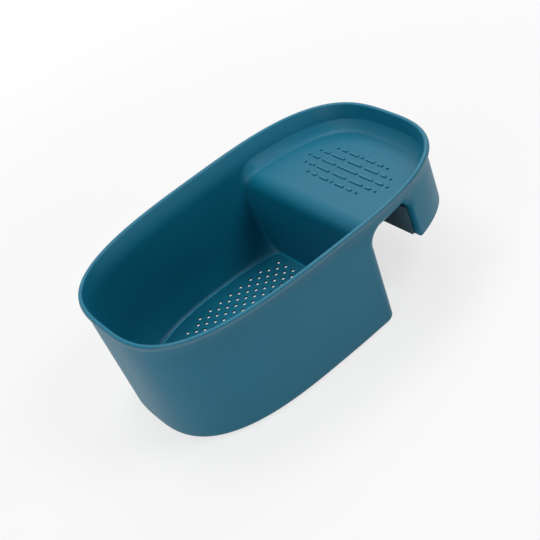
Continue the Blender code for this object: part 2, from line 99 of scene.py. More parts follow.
# Curves into the side wall: width, height, power at the wall and power at the level end. The arch's are as in
# the part's source. The tray's two powers are the scene's own and give it a crisper upper edge.
ARCH_SIDE = (12.5 * MM, 10.5 * MM, 1.45, 1.45)
TRAY_SIDE = (9.5 * MM, 8.5 * MM, 1.12, 2.1)

# Hook. The rounding of its lower edge and of its inner ceiling is the scene's own.
HOOK_DRAFT = math.radians(0.6)
HOOK_CORNER = 2.5 * MM
HOOK_ARCH_ROUND = 5.5 * MM
HOOK_EDGE_ROUND = 0.9 * MM
HOOK_CEILING_ROUND = 1.5 * MM

# From where, and over what length, the way in from the side wall turns from straight across to square to it
TURN_FROM_X = 90 * MM
TURN_LENGTH = 40 * MM

# Ledge and recess for the plate, with the easing of their edges. The recess has its own across and down.
LEDGE_WIDE = 6.5 * MM
LEDGE_THICK = 2 * MM
LEDGE_EASE = 0.3 * MM
RECESS_INSET = 0.4 * MM
RECESS_EASE = (0.2 * MM, 0.25 * MM)
PLATE_CLEARANCE = 0.35 * MM

# Low feet: distance from the basin's end, from the divider and in from the wall, then their length and width,
# then their profile as distance in from their side and height
FOOT_PLACES = (62 * MM, 22 * MM, 8.5 * MM)
FOOT_SIZE = (10 * MM, 4 * MM)
FOOT_LEVELS = ((0.5 * MM, 0.0), (0.15 * MM, 0.12 * MM), (0.0, 0.45 * MM), (0.0, FOOT_HEIGHT + 0.2 * MM))

# Dashes in mm, from the outermost row to the middle one: distance of each from the middle, and its length
DASH_ROWS = (((0, 2.5), (10, 10.8), (22.4, 6.3), (31, 2.5)),
             ((0, 17), (20.8, 16.2), (35.6, 6.8), (44.2, 2.5)),
             ((0, 25), (23.7, 16.5), (40, 8.6), (49.3, 2.5)))
DASH_FROM_HOOK_FACE = 3.7 * MM
DASH_SUNK = 0.3 * MM

# Dash profile: distance in from its side, and share of its height
DASH_PROFILE = ((0.0, 0.62), (0.05 * MM, 0.84), (0.16 * MM, 0.96), (0.34 * MM, 1))

# Rim profile in mm. Up the outside: distance in from the rim's outline, share of the way there from the skin,
# and height from the top. Down the inside: how far out of the inner wall, and height from the top.
RIM_OUTSIDE = ((0.5, 0.0, -6.2), (0.5, 0.1, -5.5), (0.5, 0.3, -4.95), (0.45, 0.56, -4.5), (0.4, 0.79, -4.1),
               (0.3, 0.93, -3.75), (0.18, 1, -3.4), (0.07, 1, -3.0), (0.02, 1, -2.65), (0.02, 1, -2.3),
               (0.1, 1, -1.9), (0.22, 1, -1.5), (0.34, 1, -1.15), (0.46, 1, -0.85), (0.62, 1, -0.55),
               (0.88, 1, -0.27), (1.22, 1, -0.08), (1.6, 1, 0.0))
RIM_INSIDE = np.array([(1.35, 0.0), (0.85, -0.05), (0.48, -0.2), (0.2, -0.46), (0.05, -0.85),
                       (0.0, -1.3)]) * MM

# Plate profile in mm: distance in from its outline, and height from its top. A low bead runs along its edge.
PLATE_PROFILE = ((0.3, -1.4), (0.08, -1.32), (0.0, -1.1), (0.0, -0.05), (0.05, 0.16), (0.16, 0.28),
                 (0.3, 0.32), (0.44, 0.28), (0.55, 0.16), (0.62, 0.04), (0.75, 0.0))

# Drain holes: what is added to their radius, and height from the plate's underside, then from its top
HOLE_LOW = ((-0.2 * MM, -0.1 * MM), (-0.5 * MM, 0.2 * MM))
HOLE_HIGH = ((0.0, -0.25 * MM), (0.25 * MM, 0.05 * MM))
SHARP_ANGLE = math.radians(38)

# Pad: corner radius, and profile in mm as distance in from its outline and depth behind its face
PAD_CORNER = 2 * MM
PAD_PROFILE = ((0.5, 0.0), (0.2, 0.06), (0.04, 0.2), (0.0, 0.5), (0.0, 1.8))

# Fineness. The crowding gathers an outline's points towards its side.
OUTLINE_STEPS = 900
SIDE_CROWDING = 0.2
SIDE_POINTS = 84
HOOK_POINTS = 60
CORNER_POINTS = 30
HOOK_CORNER_POINTS = 16
MIDDLE_POINTS = 24
TRAY_POINTS = HOOK_POINTS + HOOK_CORNER_POINTS + 1 + MIDDLE_POINTS
FLAT_SHARES = np.array([0, 0.3, 0.6, 0.85, 0.97])
BAR_POINTS = 24
PAD_POINTS = 32
SIDE_LEVELS = 18
BAND_RINGS = 10
INSIDE_RINGS = 16
ARCH_RINGS = 14
WALL_RINGS = 9
FOOT_RINGS = 8
BLEND_RINGS = 9
STEP_RINGS = 16
HOOK_ARCH_RINGS = 8
HOOK_WALL_RINGS = 6
HOOK_EDGE_RINGS = 13
HOOK_INSIDE_RINGS = 5
LID_SHARE = 0.04
WELD = 2e-6
FINE_WELD = 1e-7

# More rows and columns of drain holes than the plate can hold. Those outside its outline are dropped.
HOLE_ROWS = 40
HOLE_COLUMNS = 60

# Patterns in the materials: scale for each metre, detail, and roughness where it isn't the usual one
CLOUD = (34, 3)
FLOW = (120, 2)
SPECK = (1900, 1)
SCRATCH = (700, 2, 0.65)
PEEL = (260, 1)
GRAIN = (2400, 2)
RUBBER_CLOUD = (60, 3)
RUBBER_SPECK = (2600, 2)
FLOOR_CLOUD = (9, 2)
PEBBLE_SCALE = 1300
FLOW_STRETCH = (1, 1, 0.12)
SCRATCH_STRETCH = (0.08, 1, 1)

# From which value to which the plastic turns outward, scuffed, level, and no longer upright
OUTWARD = (0, 0.02)
SCUFFED = (0.6, 0.68)
LEVEL = (0.85, 0.97)
UPRIGHT = (0.15, 0.5)

# Painted shade line along the parting line, and band of painted sheen, as distances below a polished edge,
# with their tones
PARTING_SHADE_SPAN = (0.5 * MM, 0.2 * MM)
BAND = (3.4 * MM, 2.6 * MM)
PARTING_SHADE = 0.3
# PALE is the pale grey that the painted sheen mixes into the teal.
PALE = (0.33, 0.36, 0.37, 1)

# Shares of the patterns in tone, roughness and bumps. The rubber's last values are its plain tone and
# roughness, to which its patterns are added.
SCUFF_TONE = 0.03
CLOUD_ROUGH, FLOW_ROUGH, SCUFF_ROUGH, POLISH_SMOOTH = 0.1, 0.06, 0.07, 0.14
GRAIN_SHARE = 0.35
# The rubber's third tone share darkens the hollows between its pebbles: painted shade.
RUBBER_TONE = (0.2, 0.25, 0.12, 1.04)
RUBBER_ROUGH = (0.08, 0.1, 0.8)

# Polished edges: height over which the polish comes, tone of the edge's painted highlight, and tone of the
# painted shade on upright faces. Then where each begins: below the rim, as a share of a dash's height, and
# above the plate's top.
BODY_EDGE = (0.35 * MM, 1.14, 1)
# On the dashes the top edges are lightened as painted highlight; dash and feet sides are darkened as painted
# shade.
DETAIL_EDGE = (0.15 * MM, 1.12, 0.72)
# On the plate the bead's top is lightened strongly as painted highlight; hole walls and other upright faces
# are darkened as painted shade.
PLATE_EDGE = (0.1 * MM, 3.2, 0.35)
BODY_EDGE_DOWN = 0.85 * MM
DASH_EDGE_SHARE = 0.8
PLATE_EDGE_UP = 0.05 * MM

# Studio lights: name, direction round the object and height in degrees, and share of the main light
STUDIO_LIGHTS = (("key_light", 315, 48, 1.0), ("far_light", 45, 48, 0.5), ("top_light", 90, 72, 0.94),
                 ("side_light", 180, 48, 0.38), ("front_light", 262, 15, 0.15), ("end_light", 205, 15, 0.58))

# Floor: half its width, its height just below the feet, how cloudy it is, and over which distances from the
# object it turns plain white
FLOOR_REACH = 6.0
FLOOR_Z = -0.1 * MM
FLOOR_CLOUDING = 0.02
GLOW_EDGE = (0.28, 0.8)
WHITE = (1, 1, 1, 1)

# Camera, fitted to the photograph. Its turn is in degrees, its lens and sensor in mm.
CAMERA_PLACE = (-0.293506, -0.663595, 0.578664)
CAMERA_TURN = (51.43247, 18.793510, -37.862777)
CAMERA_LENS = 74.77
CAMERA_SENSOR = 36


class ColanderSizes(bpy.types.PropertyGroup):
    """Sizes of the colander that a user would change."""

    length: FloatProperty(name="Length", description="From the basin's end to the hook's end",
                          default=cad_high.x - cad_low.x, unit="LENGTH")
    width: FloatProperty(name="Width", description="Across the rim",
                         default=cad_high.y - cad_low.y, unit="LENGTH")
    height: FloatProperty(name="Height", description="From the feet to the rim",
                          default=cad_high.z, unit="LENGTH")
    wall: FloatProperty(name="Wall", description="Thickness of the moulding", default=2.4 * MM, unit="LENGTH")
    bead_out: FloatProperty(name="Rim bead", description="How far the bead stands out under the rim",
                            default=1.2 * MM, unit="LENGTH")
    tray_depth: FloatProperty(name="Tray depth", description="From the rim down to the tray",
                              default=22.3 * MM, unit="LENGTH")
    step_round: FloatProperty(name="Step rounding", description="Radius of the step between tray and basin",
                              default=13 * MM, unit="LENGTH")
    saddle_gap: FloatProperty(name="Saddle gap", description="From the basin's wall to the hook",
                              default=43.7 * MM, unit="LENGTH")
    hook_drop: FloatProperty(name="Hook drop", default=33.1 * MM, unit="LENGTH",
                             description="From the saddle's ceiling to the hook's lower edge")


class StrainerSizes(bpy.types.PropertyGroup):
    """Sizes of the strainer plate and of the raised dashes."""

    hole: FloatProperty(name="Hole", description="Width of a drain hole", default=3.4 * MM, unit="LENGTH")
    pitch_x: FloatProperty(name="Pitch along", description="Distance between holes along the basin",
                           default=11.4 * MM, unit="LENGTH")
    pitch_y: FloatProperty(name="Pitch across", description="Distance between holes across the basin",
                           default=10.5 * MM, unit="LENGTH")
    sides: IntProperty(name="Hole sides", description="Sides of each drain hole", default=16, min=6, max=48)
    margin: FloatProperty(name="Margin", description="From the plate's outline to the nearest hole's centre",
                          default=12.5 * MM, unit="LENGTH")
    divider_margin: FloatProperty(name="Divider margin", description="From the divider to the first holes",
                                  default=8.3 * MM, unit="LENGTH")
    dash_wide: FloatProperty(name="Dash width", description="Width of a raised dash",
                             default=2.5 * MM, unit="LENGTH")
    dash_high: FloatProperty(name="Dash height", description="Height of a raised dash",
                             default=1.0 * MM, unit="LENGTH")
    dash_pitch: FloatProperty(name="Row pitch", description="Distance between rows of dashes",
                              default=8.7 * MM, unit="LENGTH")


class ColanderColours(bpy.types.PropertyGroup):
    """Colours and finish of the materials."""

    body: FloatVectorProperty(name="Body", description="Teal of the body", subtype="COLOR", size=3,
                              min=0, max=1, default=(0.002, 0.135, 0.218))
    plate: FloatVectorProperty(name="Plate", description="Teal of the strainer plate", subtype="COLOR",
                               size=3, min=0, max=1, default=(0.002, 0.145, 0.23))
    pad: FloatVectorProperty(name="Pad", description="Grey of the hook's pad", subtype="COLOR", size=3,
                             min=0, max=1, default=(0.056, 0.103, 0.13))
    roughness: FloatProperty(name="Roughness", description="Roughness of the moulded plastic",
                             default=0.45, min=0, max=1, subtype="FACTOR")
    gloss: FloatProperty(name="Gloss", description="Strength of the plastic's reflections",
                         default=0.25, min=0, max=1, subtype="FACTOR")
    mottle: FloatProperty(name="Mottling", default=0.1, min=0, max=1, subtype="FACTOR",
                          description="How much the plastic's tone varies from place to place")
    # Painted sheen: how far the band under the rim is mixed towards pale grey.
    painted_sheen: FloatProperty(name="Rim sheen", description="How far the band under the rim has gone pale",
                          default=0.15, min=0, max=1, subtype="FACTOR")
    # Painted sheen: how far the outer walls are mixed towards pale grey.
    wall_sheen: FloatProperty(name="Wall sheen", description="How far the outer walls have gone pale",
                        default=0.042, min=0, max=1, subtype="FACTOR")
    grain: FloatProperty(name="Grain height", description="Height of the moulded surface's fine grain",
                         default=0.05 * MM, unit="LENGTH")


class StudioSettings(bpy.types.PropertyGroup):
    """Lights, floor and backdrop."""

    power: FloatProperty(name="Main light", description="Power of the main light", default=10.2, unit="POWER")
    distance: FloatProperty(name="Light distance", description="From the object to each light",
                            default=1.6, unit="LENGTH")
    size: FloatProperty(name="Light size", description="Width of each light", default=0.75, unit="LENGTH")
    fill: FloatProperty(name="Fill", description="Light that the surroundings send to matt surfaces",
                        default=0.07, min=0, max=1, subtype="FACTOR")
    floor: FloatProperty(name="Floor", description="Paleness of the floor", default=0.85, min=0, max=1,
                         subtype="FACTOR")
    glow: FloatProperty(name="Floor glow", description="Share of plain white in the floor near the object",
                        default=0.72, min=0, max=1, subtype="FACTOR")


class Shape:
    """Outlines and surfaces of the colander, worked out from its sizes."""

    def __init__(self, sizes):
        self.length, self.width, self.height = sizes.length, sizes.width, sizes.height
        self.wall, self.bead_out = sizes.wall, sizes.bead_out
        self.step_round = sizes.step_round
        self.arch_round = sizes.step_round - sizes.wall
        self.end_x = -sizes.length / 2
        self.tray_z = sizes.height - sizes.tray_depth
        self.seat_z = self.tray_z - sizes.wall
        self.hook_foot_z = self.seat_z - sizes.hook_drop
        self.flare_foot_z = sizes.height - FLARE_HEIGHT
        self.divider_foot_x = self.end_x + FOOT_INSETS[0] + BASIN_LENGTH
        self.centre_z = self.tray_z - sizes.step_round
        self.seat_x = self.divider_foot_x + (self.seat_z - FOOT_HEIGHT) * math.tan(DIVIDER_DRAFT)
        self.hook_x = self.seat_x + sizes.saddle_gap
        self.hook_centre_x = self.hook_x - HOOK_ARCH_ROUND
        self.hook_centre_z = self.seat_z - HOOK_ARCH_ROUND
        self.arch = (self.arch_round, DIVIDER_CORNER, ARCH_SIDE)
        self.step = (sizes.step_round, DIVIDER_CORNER - sizes.wall, TRAY_SIDE)
        self.hook = (HOOK_ARCH_ROUND, HOOK_CORNER, ARCH_SIDE)
        self.plate_z = FOOT_HEIGHT + LEDGE_THICK + PLATE_CLEARANCE

    def half_oval(self, widest_x, low_x, high_x, half_width, powers):
        """Far half of an oval made of two superellipses, from the hook end to the basin end.

        x leaves the widest place by reach times cos^(2/power), and y is half_width times sin^(2/power).
        """
        even = np.linspace(0, math.pi, OUTLINE_STEPS + 1)
        turn = even + SIDE_CROWDING * np.sin(2 * even)
        cos, sin = np.cos(turn), np.abs(np.sin(turn))
        power = np.where(cos > 0, powers[1], powers[0])
        reach = np.where(cos > 0, high_x - widest_x, widest_x - low_x)
        x = widest_x + reach * np.sign(cos) * np.abs(cos) ** (2 / power)
        y = half_width * sin ** (2 / power)
        y[[0, -1]] = 0
        return np.column_stack([x, y])

    def rim(self):
        """The outermost outline."""
        return self.half_oval(RIM_WIDEST_X, self.end_x, self.length / 2, self.width / 2, RIM_POWERS)

    def skin(self, z):
        """Outside at a height: a quarter sine in the flared band, then in to the foot or down the hook."""
        rim = self.rim()
        facing = inward(rim)[:, 0]
        end = np.where(facing > 0, FLARE_INSET_ENDS[0], FLARE_INSET_ENDS[1])
        flare = FLARE_INSET_SIDE + (end - FLARE_INSET_SIDE) * facing ** 2
        down = min(max((self.height - z) / FLARE_HEIGHT, 0), 1)
        flared = inset(rim, self.bead_out + (flare - self.bead_out) * math.sin(down * math.pi / 2))
        if z >= self.flare_foot_z:
            return flared
        share = (self.flare_foot_z - z) / (self.flare_foot_z - FOOT_HEIGHT)
        foot = self.half_oval(FOOT_WIDEST_X, self.end_x + FOOT_INSETS[0], self.length / 2 - FOOT_INSETS[2],
                              self.width / 2 - FOOT_INSETS[1], FOOT_POWERS)
        basin = flared + (foot - flared) * share
        hook = inset(flared, (self.flare_foot_z - z) * math.tan(HOOK_DRAFT))
        step = np.clip((flared[:, :1] - self.seat_x) / (self.hook_x - self.seat_x), 0, 1)
        blend = step * step * (3 - 2 * step)
        return basin * (1 - blend) + hook * blend

    def floor(self):
        """Oval of the basin's floor, as if it ran on past the divider."""
        return self.half_oval(FLOOR_WIDEST_X, self.end_x + FLOOR_INSETS[0], self.length / 2 - FLOOR_INSETS[2],
                              self.width / 2 - FLOOR_INSETS[1], FLOOR_POWERS)

    def centre_x(self, z):
        """x of the line that the step and the arch are rounded about. It follows the divider's draft."""
        rise = min(z, self.centre_z) - FOOT_HEIGHT
        return self.divider_foot_x + rise * math.tan(DIVIDER_DRAFT) + self.arch_round

    def side_stand(self, run, over, radius, corner, flat_depth, side):
        """How far a surface stands in from the side wall, where it lies outside a profile by some depth.

        The profile is a quarter circle with straight ends. The curve into the wall is a superellipse that is
        wide and high over the level end of the profile and turns into a plain corner down its upright end.
        One power says how crisply it meets the wall, the other how softly it leaves the level end.
        """
        depth = np.where(run > 0, np.hypot(run, over) - radius, flat_depth)
        share = np.arctan2(over, run) / (math.pi / 2)
        wide = corner + (side[0] - corner) * share
        high = corner + (side[1] - corner) * share
        wall_power = 2 + (side[2] - 2) * share
        level_power = 2 + (side[3] - 2) * share
        left = np.clip(1 - depth / high, 0, 1)
        return wide * (1 - (1 - left ** wall_power) ** (1 / level_power))

    def basin_stand(self, x, z, radius, corner, side):
        """side_stand on the basin's side, for the arch outside the basin or the step inside it."""
        run = np.maximum(self.centre_x(z) - x, 0)
        over = max(z - self.centre_z, 0)
        return self.side_stand(run, over, radius, corner, z - self.centre_z - radius, side)

    def hook_stand(self, x, z):
        """side_stand on the hook's side of the saddle."""
        run = np.maximum(x - self.hook_centre_x, 0)
        over = max(z - self.hook_centre_z, 0)
        return self.side_stand(run, over, HOOK_ARCH_ROUND, HOOK_CORNER, z - self.seat_z, ARCH_SIDE)

    def corner_reach(self, z, centre_z, radius, corner, side, count=CORNER_POINTS):
        """Distances from the centre line to the points of the curve between profile and side wall."""
        over = min(max(z - centre_z, 0), radius)
        share = over / radius
        near = math.sqrt(radius ** 2 - over ** 2)
        far = math.sqrt((radius + corner + (side[1] - corner) * share) ** 2 - over ** 2)
        step = np.linspace(0, 1, count + 1)
        eased = (1 - share) * (1 - np.cos(step * math.pi / 2)) + share * step
        return near + (far - near) * eased

    def basin_half(self, wall, z, outside, margin=0.0):
        """Half outline of the basin at a height: the divider's edge, its corner and the side wall."""
        profile = self.arch if outside else self.step
        x = self.centre_x(z) - self.corner_reach(z, self.centre_z, *profile)
        bend = place_of(wall, x - margin)
        side = np.linspace(bend[-1], len(wall) - 1, SIDE_POINTS + 1)[1:]
        return half_ring(wall, bend, side, self.basin_stand(x, z, *profile) + margin, margin)

    def hook_reach(self, z):
        """x of the points of the curve between the hook's inner face and its side wall."""
        return self.hook_centre_x + self.corner_reach(z, self.hook_centre_z, *self.hook, HOOK_CORNER_POINTS)

    def hook_half(self, wall, z, margin=0.0):
        """Half outline of the hook at a height: inner face's edge, corner, and the wall round the end."""
        x = self.hook_reach(z)
        bend = place_of(wall, x + margin)
        side = np.linspace(bend[-1], 0, HOOK_POINTS + 1)[1:]
        return half_ring(wall, bend, side, self.hook_stand(x, z) + margin, margin)

    def outer_places(self):
        """Where the rings above the saddle have their points, in line with the rings of hook and basin."""
        wall = self.skin(self.seat_z)
        hook = place_of(wall, self.hook_reach(self.seat_z))
        basin = place_of(wall, self.centre_x(self.seat_z)
                         - self.corner_reach(self.seat_z, self.centre_z, *self.arch))
        return np.concatenate([np.linspace(0, hook[-1], HOOK_POINTS + 1)[:-1], hook[::-1],
                               np.linspace(hook[0], basin[0], MIDDLE_POINTS + 2)[1:-1], basin,
                               np.linspace(basin[-1], len(wall) - 1, SIDE_POINTS + 1)[1:]])

    def inner_places(self):
        """Where the rings above the tray have their points, in line with the basin's inner rings."""
        wall = inset(self.skin(self.tray_z), self.wall)
        basin = place_of(wall, self.centre_x(self.tray_z)
                         - self.corner_reach(self.tray_z, self.centre_z, *self.step))
        return np.concatenate([np.linspace(0, basin[0], TRAY_POINTS + 1)[:-1], basin,
                               np.linspace(basin[-1], len(wall) - 1, SIDE_POINTS + 1)[1:]])

    def outer_half(self, z, places, inwards=0.0, share=0.0):
        """Outside at a height above the saddle, with the notch that the arch leaves.

        On the rim's bead it goes a share of the way from the skin to the rim's outline moved inwards.
        """
        wall = self.skin(z)
        wall = wall + (inset(self.rim(), inwards) - wall) * share
        points = along(wall, places)
        x = points[:, 0]
        basin = self.basin_stand(x, z, *self.arch)
        stand = np.where(x < self.hook_centre_x, basin, self.hook_stand(x, z))
        moved = points + sideways(wall, places) * stand[:, None]
        moved[[0, -1], 1] = 0
        return moved

    def inner_half(self, z, places, out=0.0):
        """Inside at a height above the tray. out moves it outwards."""
        wall = inset(self.skin(z), self.wall)
        points = along(wall, places)
        stand = self.basin_stand(points[:, 0], z, *self.step)
        moved = points + sideways(wall, places) * stand[:, None] - along(inward(wall), places) * out
        moved[[0, -1], 1] = 0
        return moved


def inward(half):
    """The direction square to a half outline at each point, of length 1."""
    whole = np.vstack([half[1] * (1, -1), half, half[-2] * (1, -1)])
    tangent = whole[2:] - whole[:-2]
    tangent /= np.linalg.norm(tangent, axis=1)[:, None]
    return np.column_stack([-tangent[:, 1], tangent[:, 0]])


def inset(half, distance):
    """The half outline moved inwards, square to itself. distance is one number or one for each point."""
    moved = half + inward(half) * np.reshape(distance, (-1, 1))
    moved[[0, -1], 1] = 0
    return moved


def along(half, places):
    """Points of a half outline at places counted in steps from its first point."""
    step = np.arange(len(half))
    return np.column_stack([np.interp(places, step, half[:, k]) for k in range(2)])


def place_of(half, x):
    """Where a half outline passes x, counted in steps from its first point."""
    return np.interp(-np.asarray(x), -half[:, 0], np.arange(len(half)))


def sideways(half, places):
    """Direction in from the side wall: straight across near the saddle, square to it at the hook's end."""
    share = np.clip((along(half, places)[:, 0] - TURN_FROM_X) / TURN_LENGTH, 0, 1)
    turn = (share * share * (3 - 2 * share))[:, None]
    return along(inward(half), places) * turn + np.array([0.0, -1.0]) * (1 - turn)


def half_ring(wall, bend, side, stand, margin):
    """Half outline of a straight edge across, a corner at the places bend and the wall at the places side."""
    turned = along(wall, bend) + sideways(wall, bend) * stand[:, None]
    straight = along(wall, side) + along(inward(wall), side) * margin
    straight[-1, 1] = 0
    flat = np.column_stack([np.full(len(FLAT_SHARES), turned[0, 0]), turned[0, 1] * FLAT_SHARES])
    return np.vstack([flat, turned, straight])


def ring(half, z):
    """A closed ring of points from a half outline and its mirror image."""
    first = 1 if half[0, 1] == 0 else 0
    last = -1 if half[-1, 1] == 0 else len(half)
    outline = np.vstack([half, half[first:last][::-1] * (1, -1)])
    return np.column_stack([outline, np.full(len(outline), z)])


def strip(rings, start):
    """Points and four-sided faces of a surface through closed rings of equal counts."""
    count = len(rings[0])
    corner = np.arange(count)
    beside = np.roll(corner, -1)
    faces = []
    for k in range(len(rings) - 1):
        low, high = start + k * count, start + (k + 1) * count
        faces.append(np.column_stack([low + corner, low + beside, high + beside, high + corner]))
    return np.vstack(rings), np.vstack(faces)


class Skin:
    """Collects strips and lids, then makes one welded mesh of them."""

    def __init__(self):
        self.points, self.faces, self.count = [], [], 0

    def add_strip(self, rings):
        """Add a surface through closed rings."""
        points, faces = strip(rings, self.count)
        self.points.append(points)
        self.faces += faces.tolist()
        self.count += len(points)

    def add_lid(self, loop):
        """Add a flat lid inside a closed loop. A narrow border gives its edge true normals."""
        inner = loop + (loop.mean(0) - loop) * LID_SHARE
        self.add_strip([loop, inner])
        self.faces.append((np.arange(len(inner)) + self.count - len(inner)).tolist())

    def add_mirrored_lid(self, far):
        """Add a flat lid from the far half of its edge. The near half is the mirror image."""
        self.add_lid(np.vstack([far, far[1:-1][::-1] * (1, -1, 1)]))

    def add_solid(self, rings):
        """Add a surface through closed rings, with a lid on its first and its last one."""
        self.add_strip(rings)
        self.add_lid(rings[0])
        self.add_lid(rings[-1])

    def make(self, name, weld=WELD):
        """Weld what was added and make an object with smooth faces that point outwards."""
        mesh = bpy.data.meshes.new(name)
        mesh.from_pydata(np.vstack(self.points).tolist(), [], self.faces)
        edit = bmesh.new()
        edit.from_mesh(mesh)
        bmesh.ops.remove_doubles(edit, verts=edit.verts[:], dist=weld)
        bmesh.ops.recalc_face_normals(edit, faces=edit.faces[:])
        for face in edit.faces:
            face.smooth = True
        edit.to_mesh(mesh)
        edit.free()
        obj = bpy.data.objects.new(name, mesh)
        bpy.context.scene.collection.objects.link(obj)
        return obj


def side_rises(side):
    """Heights of the curve into the side wall, from 0 to its full height."""
    turn = np.linspace(0, math.pi / 2, SIDE_LEVELS + 1)
    return side[1] * (1 - np.cos(turn) ** (2 / side[2]))


def rounding(top, radius, count):
    """Heights that step evenly round a quarter circle ending level at top, from its foot."""
    turn = np.linspace(0, math.pi / 2, count + 1)
    return top - radius * (1 - np.sin(turn))


def upper_rings(shape):
    """Rings from the saddle's ceiling up the outside, over the rim and down the inside to the tray."""
    height, seat, tray = shape.height, shape.seat_z, shape.tray_z
    outer, inner = shape.outer_places(), shape.inner_places()
    rings = [ring(shape.outer_half(seat + rise, outer), seat + rise) for rise in side_rises(ARCH_SIDE)]
    for z in np.linspace(seat + ARCH_SIDE[1], height + RIM_OUTSIDE[0][2] * MM, BAND_RINGS)[1:-1]:
        rings.append(ring(shape.outer_half(z, outer), z))
    for inwards, share, down in RIM_OUTSIDE:
        z = height + down * MM
        rings.append(ring(shape.outer_half(z, outer, inwards * MM, share), z))
    for out, down in RIM_INSIDE:
        rings.append(ring(shape.inner_half(height + down, outer, out), height + down))
    for share in np.linspace(0, 1, INSIDE_RINGS)[1:-1]:
        z = height + RIM_INSIDE[-1, 1] + (tray + TRAY_SIDE[1] - height - RIM_INSIDE[-1, 1]) * share
        rings.append(ring(shape.inner_half(z, outer + (inner - outer) * share), z))
    for rise in side_rises(TRAY_SIDE)[::-1]:
        rings.append(ring(shape.inner_half(tray + rise, inner), tray + rise))
    return rings


def basin_rings(shape):
    """Rings from the saddle's ceiling down the outside, under the ledge and up the inside to the tray."""
    rings = []
    heights = rounding(shape.seat_z, shape.arch_round, ARCH_RINGS)[::-1].tolist()
    heights += np.linspace(shape.centre_z, FOOT_HEIGHT + FOOT_ROUND, WALL_RINGS)[1:].tolist()
    for z in heights:
        rings.append(ring(shape.basin_half(shape.skin(z), z, True), z))
    for turn in np.linspace(0, math.pi / 2, FOOT_RINGS)[1:]:
        z = FOOT_HEIGHT + FOOT_ROUND * (1 - math.sin(turn))
        margin = FOOT_ROUND * (1 - math.cos(turn))
        rings.append(ring(shape.basin_half(shape.skin(z), z, True, margin), z))
    floor, floor_z = shape.floor(), plate_high.z
    ledge_z = FOOT_HEIGHT + LEDGE_THICK
    for margin, z in ((LEDGE_WIDE + LEDGE_EASE, FOOT_HEIGHT), (LEDGE_WIDE, FOOT_HEIGHT + LEDGE_EASE),
                      (LEDGE_WIDE, ledge_z - LEDGE_EASE), (LEDGE_WIDE - LEDGE_EASE, ledge_z),
                      (RECESS_INSET, ledge_z), (RECESS_INSET, floor_z - RECESS_EASE[1]),
                      (RECESS_INSET - RECESS_EASE[0], floor_z)):
        rings.append(ring(shape.basin_half(floor, z, False, margin), z))
    for turn in np.linspace(0, math.pi / 2, BLEND_RINGS):
        z = floor_z + FLOOR_BLEND * turn / (math.pi / 2)
        wall = floor + (inset(shape.skin(z), shape.wall) - floor) * math.sin(turn)
        rings.append(ring(shape.basin_half(wall, z, False), z))
    heights = np.linspace(floor_z + FLOOR_BLEND, shape.centre_z, WALL_RINGS)[1:].tolist()
    heights += rounding(shape.tray_z, shape.step_round, STEP_RINGS)[1:].tolist()
    for z in heights:
        wall = inset(shape.skin(z), shape.wall)
        rings.append(ring(shape.basin_half(wall, z, False), z))
    return rings


def hook_rings(shape):
    """Rings from the saddle's ceiling down the hook's outside, round its lower edge and up its inside."""
    rings = []
    seat, foot = shape.seat_z, shape.hook_foot_z
    heights = rounding(seat, HOOK_ARCH_ROUND, HOOK_ARCH_RINGS)[::-1].tolist()
    heights += np.linspace(shape.hook_centre_z, foot + HOOK_EDGE_ROUND, HOOK_WALL_RINGS)[1:].tolist()
    for z in heights:
        rings.append(ring(shape.hook_half(shape.skin(z), z), z))
    for turn in np.linspace(0, math.pi, HOOK_EDGE_RINGS)[1:]:
        z = foot + HOOK_EDGE_ROUND * (1 - math.sin(turn))
        margin = shape.wall / 2 * (1 - math.cos(turn))
        rings.append(ring(shape.hook_half(shape.skin(z), z, margin), z))
    for z in np.linspace(foot + HOOK_EDGE_ROUND, shape.hook_centre_z, HOOK_INSIDE_RINGS)[1:]:
        rings.append(ring(shape.hook_half(shape.skin(z), z, shape.wall), z))
    half = shape.hook_half(shape.skin(shape.hook_centre_z), shape.hook_centre_z, shape.wall)
    rings.append(ring(half, seat - HOOK_CEILING_ROUND))
    rings.append(ring(half + inward_of_loop(half) * HOOK_CEILING_ROUND, seat))
    return rings


def body_skin(shape):
    """The whole moulding as one closed skin: three stacks of rings, and lids on ceiling, tray and hook."""
    skin = Skin()
    upper, basin, hook = upper_rings(shape), basin_rings(shape), hook_rings(shape)
    for rings in (upper, basin, hook):
        skin.add_strip(rings)
    skin.add_lid(hook[-1])
    ceiling_lid(skin, basin[0], hook[0], upper[0])
    tray_lid(skin, basin[-1], upper[-1])
    return skin.make("colander_body")


def inward_of_loop(half):
    """Towards the middle of a hook outline, for its small ceiling fillet."""
    middle = np.array([half[:, 0].mean(), 0.0])
    away = middle - half
    return away / np.maximum(np.linalg.norm(away, axis=1), MM)[:, None]


def ceiling_lid(skin, basin, hook, upper):
    """The saddle's flat ceiling, between the basin's straight edge, the side curves and the hook's edge."""
    flat = len(FLAT_SHARES)
    start = HOOK_POINTS + HOOK_CORNER_POINTS
    middle = upper[start:start + MIDDLE_POINTS + 2]
    skin.add_mirrored_lid(np.vstack([hook[:flat], middle, basin[:flat][::-1]]))


def tray_lid(skin, basin, upper):
    """The tray's flat floor: the tray part of the ring at its height, closed by the step's straight edge."""
    skin.add_mirrored_lid(np.vstack([upper[:TRAY_POINTS + 1], basin[:len(FLAT_SHARES)][::-1]]))


